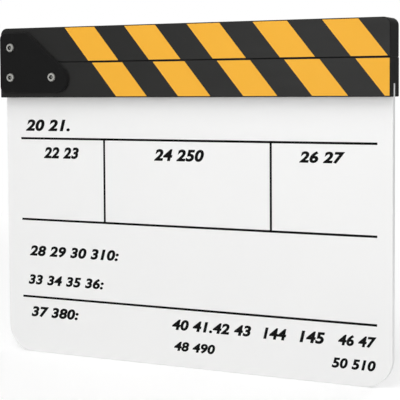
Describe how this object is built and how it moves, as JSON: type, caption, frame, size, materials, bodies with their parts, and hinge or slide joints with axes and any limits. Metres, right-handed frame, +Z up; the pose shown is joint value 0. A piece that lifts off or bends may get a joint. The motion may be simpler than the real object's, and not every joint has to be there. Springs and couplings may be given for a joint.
{
  "type": "clapperboard",
  "caption": "Clapperboard: white slate held in a grooved black clapstick with slanted yellow stripes; a matching clapstick hinged at one end swings up and claps down on it.",
  "frame": {"origin": "middle of the slate's bottom edge, half way through its thickness", "axes": "+X along the sticks, away from the hinge; the striped front faces -Y; +Z up, from the slate's bottom edge to the clapsticks"},
  "size_m": [0.3, 0.0314, 0.24],
  "materials": {
    "white_acrylic": "smooth semi-gloss sheet",
    "black_lacquered_wood": "satin lacquer",
    "yellow_film": "satin film",
    "black_plastic": "moulded satin",
    "bright_steel": "bright zinc plated",
    "white_nylon": "moulded"
  },
  "bodies": {
    "slate": {"slate_board": "white_acrylic", "lower_stick": "black_lacquered_wood", "lower_stripe_1": "yellow_film", "lower_stripe_2": "yellow_film", "lower_stripe_3": "yellow_film", "lower_stripe_4": "yellow_film", "lower_stripe_5": "yellow_film", "hinge_plate_front": "black_plastic", "hinge_plate_rear": "black_plastic", "pivot_sleeve": "bright_steel", "pivot_screw": "bright_steel", "pivot_washer": "bright_steel", "pivot_nut": "bright_steel", "pivot_nut_insert": "white_nylon", "fixing_screws": "bright_steel", "fixing_washers": "bright_steel", "fixing_nuts": "bright_steel"},
    "clapstick": {"upper_stick": "black_lacquered_wood", "upper_stripe_1": "yellow_film", "upper_stripe_2": "yellow_film", "upper_stripe_3": "yellow_film", "upper_stripe_4": "yellow_film", "upper_stripe_5": "yellow_film"}
  },
  "joints": [
    {"name": "clap_hinge", "type": "hinge", "parent": "slate", "child": "clapstick", "pos_m": [-0.139, 0, 0.2256], "axis": [0, -1, 0], "range_deg": [0, 90]}
  ]
}
